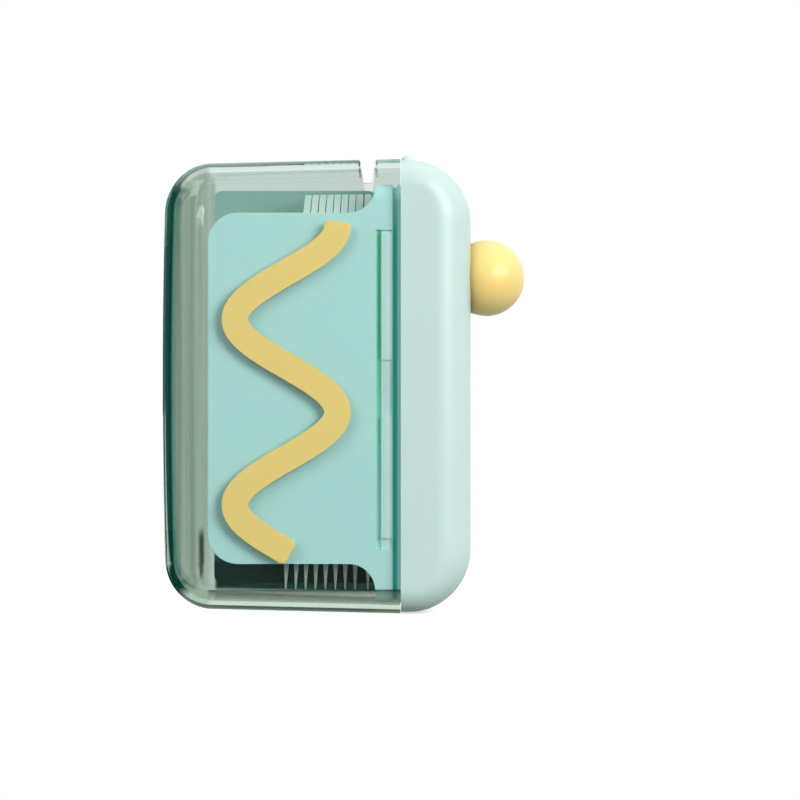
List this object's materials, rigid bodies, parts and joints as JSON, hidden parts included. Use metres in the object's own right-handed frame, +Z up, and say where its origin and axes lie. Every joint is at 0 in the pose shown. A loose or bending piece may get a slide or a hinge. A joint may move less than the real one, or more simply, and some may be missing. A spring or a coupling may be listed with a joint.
{
  "type": "floss pick dispenser case",
  "caption": "Pocket dispenser for floss picks: a clear case over a mint magazine on a mint lid, with a yellow ball button that lifts a pick out through the slot on top.",
  "frame": {"origin": "centre of the bounding box in X and Y, at the lowest point in Z, with the case standing on its long narrow side", "axes": "+Z is up as the case stands with the exit slot on top, +X points from the closed end to the lid and its ball, and the printed front window faces -Y"},
  "size_m": [0.0678, 0.025, 0.0854],
  "materials": {
    "clear_smoke": "clear smoky moulded plastic with a green tint, polished",
    "yellow_ink": "opaque printed layer, flat",
    "mint_inner": "moulded mint plastic, satin",
    "mint_lid": "moulded pale mint plastic, smooth",
    "yellow_ball": "smooth pale yellow plastic",
    "pick_white": "off-white moulded plastic",
    "floss_white": "waxed white strand",
    "white_plastic": "white moulded plastic",
    "spring_steel": "bright drawn steel wire and pin"
  },
  "bodies": {
    "case": {"clear_case": "clear_smoke", "printed_ribbon": "yellow_ink"},
    "tray": {"magazine_frame": "mint_inner", "magazine_back": "mint_inner", "lid_shell": "mint_lid", "lever_pin": "spring_steel", "follower_spring": "spring_steel", "button_spring": "spring_steel"},
    "stack": {"follower": "white_plastic", "pick_1": "pick_white", "pick_2": "pick_white", "pick_3": "pick_white", "pick_4": "pick_white", "pick_5": "pick_white", "pick_6": "pick_white", "pick_7": "pick_white", "pick_8": "pick_white", "stack_floss": "floss_white"},
    "exit": {"exit_pick": "pick_white", "exit_floss": "floss_white"},
    "button": {"ball_button": "yellow_ball", "button_carrier": "white_plastic"},
    "lever": {"eject_lever": "white_plastic"}
  },
  "joints": [
    {"name": "tray_pull", "type": "slide", "parent": "case", "child": "tray", "axis": [1, 0, 0], "range_m": [0, 0.038]},
    {"name": "ball_press", "type": "slide", "parent": "tray", "child": "button", "axis": [-1, 0, 0], "range_m": [0, 0.0045], "stiffness_N_per_m": 300, "springref_m": -0.004, "deforming": ["button_spring"]},
    {"name": "lever_turn", "type": "hinge", "parent": "tray", "child": "lever", "pos_m": [0.01845, 0.0083, 0.06305], "axis": [0, 1, 0], "range_deg": [0, 37]},
    {"name": "pick_lift", "type": "slide", "parent": "tray", "child": "exit", "axis": [0, 0, 1], "range_m": [0, 0.0093]},
    {"name": "stack_feed", "type": "slide", "parent": "tray", "child": "stack", "axis": [-1, 0, 0], "range_m": [0, 0.0037], "stiffness_N_per_m": 60, "springref_m": -0.012, "deforming": ["follower_spring"]}
  ],
  "couplings": [
    {"joint": "lever_turn", "follows": "ball_press", "rad_per_m": 143.5},
    {"joint": "pick_lift", "follows": "ball_press", "ratio": 2.0666}
  ]
}
